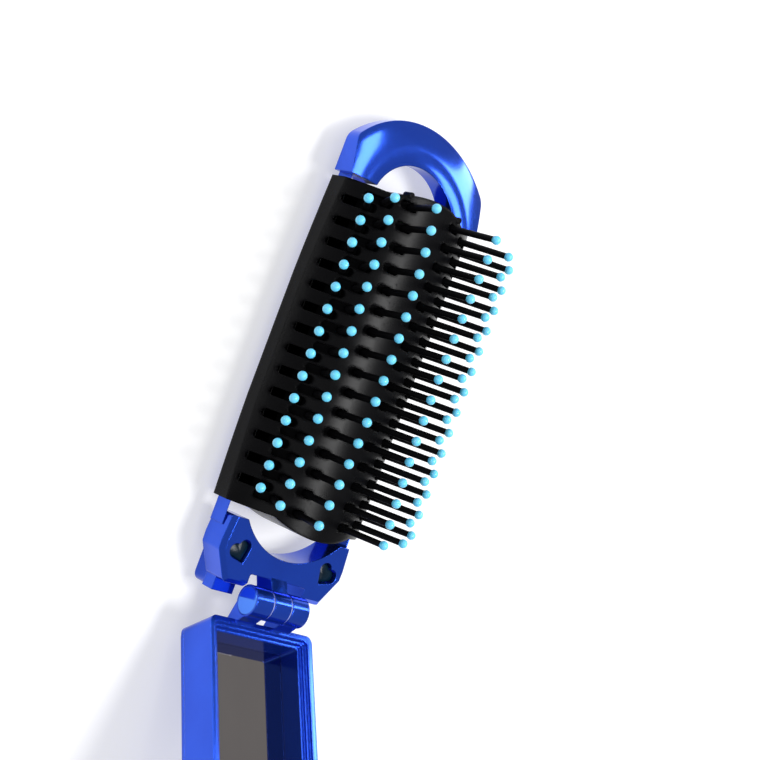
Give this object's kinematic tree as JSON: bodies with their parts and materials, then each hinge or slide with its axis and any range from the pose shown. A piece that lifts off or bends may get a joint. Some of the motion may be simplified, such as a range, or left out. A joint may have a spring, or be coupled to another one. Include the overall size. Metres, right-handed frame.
{
  "type": "folding hairbrush with mirror",
  "caption": "Pocket hairbrush with ball-tipped bristles in a slotted dome head and a hinged mirror tray that folds over them.",
  "frame": {"origin": "middle of the bristle head's flat back, on the plane that the brush half lies on", "axes": "+Z along the bristles, +Y from the hinge to the hanging loop, +X across"},
  "size_m": [0.0494, 0.2141, 0.0815],
  "materials": {
    "blue_body": "pearl blue, glossy",
    "blue_back": "pearl blue, glossy",
    "black_head": "moulded black, semi-gloss",
    "black_carrier": "moulded black",
    "bristle_nylon": "black nylon",
    "tip_blue": "light blue ball tips",
    "screw_steel": "zinc plated",
    "spring_steel": "drawn wire",
    "pin_steel": "ground",
    "washer_nylon": "natural",
    "cap_blue": "light pearl blue",
    "pad_foam": "thin self-adhesive foam",
    "mirror": "silvered glass"
  },
  "bodies": {
    "brush_half": {"brush_frame": "blue_body", "back_cover": "blue_back", "grille_head": "black_head", "cover_screws": "screw_steel", "lift_springs": "spring_steel", "hinge_pin": "pin_steel", "hinge_washers": "washer_nylon"},
    "bristle_carriage": {"bristle_carrier": "black_carrier", "bristle_pins_a": "bristle_nylon", "bristle_pins_b": "bristle_nylon", "bristle_pins_c": "bristle_nylon", "bristle_pins_d": "bristle_nylon", "bristle_pins_e": "bristle_nylon", "bristle_pins_f": "bristle_nylon", "ball_tips_a": "tip_blue", "ball_tips_b": "tip_blue", "ball_tips_c": "tip_blue", "ball_tips_d": "tip_blue", "ball_tips_e": "tip_blue", "ball_tips_f": "tip_blue"},
    "mirror_half": {"mirror_tray": "blue_body", "tray_back": "blue_back", "mirror_pad": "pad_foam", "mirror_glass": "mirror", "pin_caps": "cap_blue"}
  },
  "joints": [
    {"name": "mirror_hinge", "type": "hinge", "parent": "brush_half", "child": "mirror_half", "pos_m": [0, -0.0593, 0.0146], "axis": [-1, 0, 0], "range_deg": [0, 145]},
    {"name": "bristle_lift", "type": "slide", "parent": "brush_half", "child": "bristle_carriage", "axis": [0, 0, -1], "range_m": [0, 0.0072], "deforming": ["lift_springs"]}
  ],
  "couplings": [
    {"joint": "bristle_lift", "follows": "mirror_hinge", "m_per_rad": 0.002845}
  ]
}
